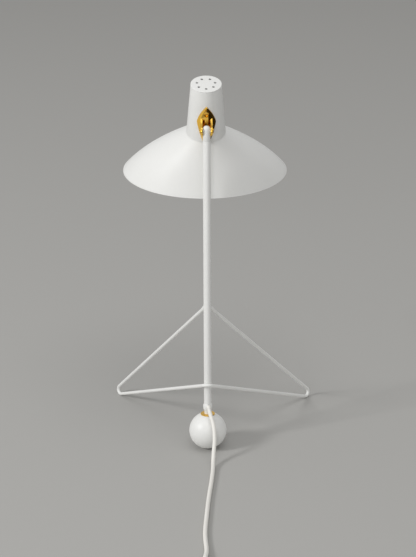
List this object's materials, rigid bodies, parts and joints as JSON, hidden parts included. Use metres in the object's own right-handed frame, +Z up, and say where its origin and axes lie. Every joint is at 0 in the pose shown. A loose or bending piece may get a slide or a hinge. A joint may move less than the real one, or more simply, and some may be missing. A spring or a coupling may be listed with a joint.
{
  "type": "tripod table lamp",
  "caption": "White tripod table lamp with a ball foot, bent wire legs, a leaning tube stem, a brass clevis joint and an oblique tilting shade.",
  "frame": {"origin": "centre of the pad under the ball foot, on the table", "axes": "+Z up, +Y from the ball foot towards the two wire feet, which lie at equal distances to -X and +X"},
  "size_m": [0.2804, 0.7144, 0.4996],
  "materials": {
    "white_coat": "satin powder coat",
    "white_ball": "satin powder coat",
    "brass": "polished",
    "plain_steel": "zinc plated",
    "pad_rubber": "matte",
    "cord_sheath": "satin",
    "white_plastic": "satin",
    "nylon": "matte",
    "holder_plastic": "satin",
    "holder_metal": "plain",
    "bulb_glass": "opal",
    "bulb_metal": "plain",
    "pin_metal": "nickel plated"
  },
  "bodies": {
    "base": {"ball_foot": "white_ball", "ball_pad": "pad_rubber", "ball_stud": "plain_steel", "ball_washer": "brass", "stem_ferrule": "white_coat", "stem_tube": "white_coat", "cord_grommet": "cord_sheath", "leg_wire": "white_coat", "cord_free": "cord_sheath", "cord_coil": "cord_sheath", "switch_base": "white_plastic", "switch_cover": "white_plastic", "switch_screws": "plain_steel", "plug_body": "white_plastic", "plug_pins": "pin_metal"},
    "turning_tip": {"stem_tip": "white_coat", "friction_washer_left": "nylon", "friction_washer_right": "nylon", "pivot_screw_left": "brass", "pivot_screw_right": "brass"},
    "head": {"brass_clevis": "brass", "leaf_screws": "brass", "neck_sleeve": "white_coat", "vent_cap": "white_coat", "shade_dish": "white_coat", "holder_bracket": "plain_steel", "holder_nipple": "plain_steel", "holder_nut": "plain_steel", "lampholder_body": "holder_plastic", "lampholder_shell": "holder_metal", "bulb_cap": "bulb_metal", "bulb_contact": "plain_steel", "bulb_glass": "bulb_glass", "supply_lead": "cord_sheath"},
    "rocker": {"switch_rocker": "white_plastic"}
  },
  "joints": [
    {"name": "head_turn", "type": "hinge", "parent": "base", "child": "turning_tip", "pos_m": [0, 0.0252, 0.43703], "axis": [0, 0.061, 0.9981], "range_deg": [-38.8, 31.2]},
    {"name": "head_tilt", "type": "hinge", "parent": "turning_tip", "child": "head", "pos_m": [0, 0.0252, 0.43703], "axis": [0.9978, 0.0662, -0.004], "range_deg": [-5, 60]},
    {"name": "rocker_press", "type": "hinge", "parent": "base", "child": "rocker", "pos_m": [0.01, -0.346, 0.0102], "axis": [1, 0, 0], "range_deg": [0, 16]}
  ]
}
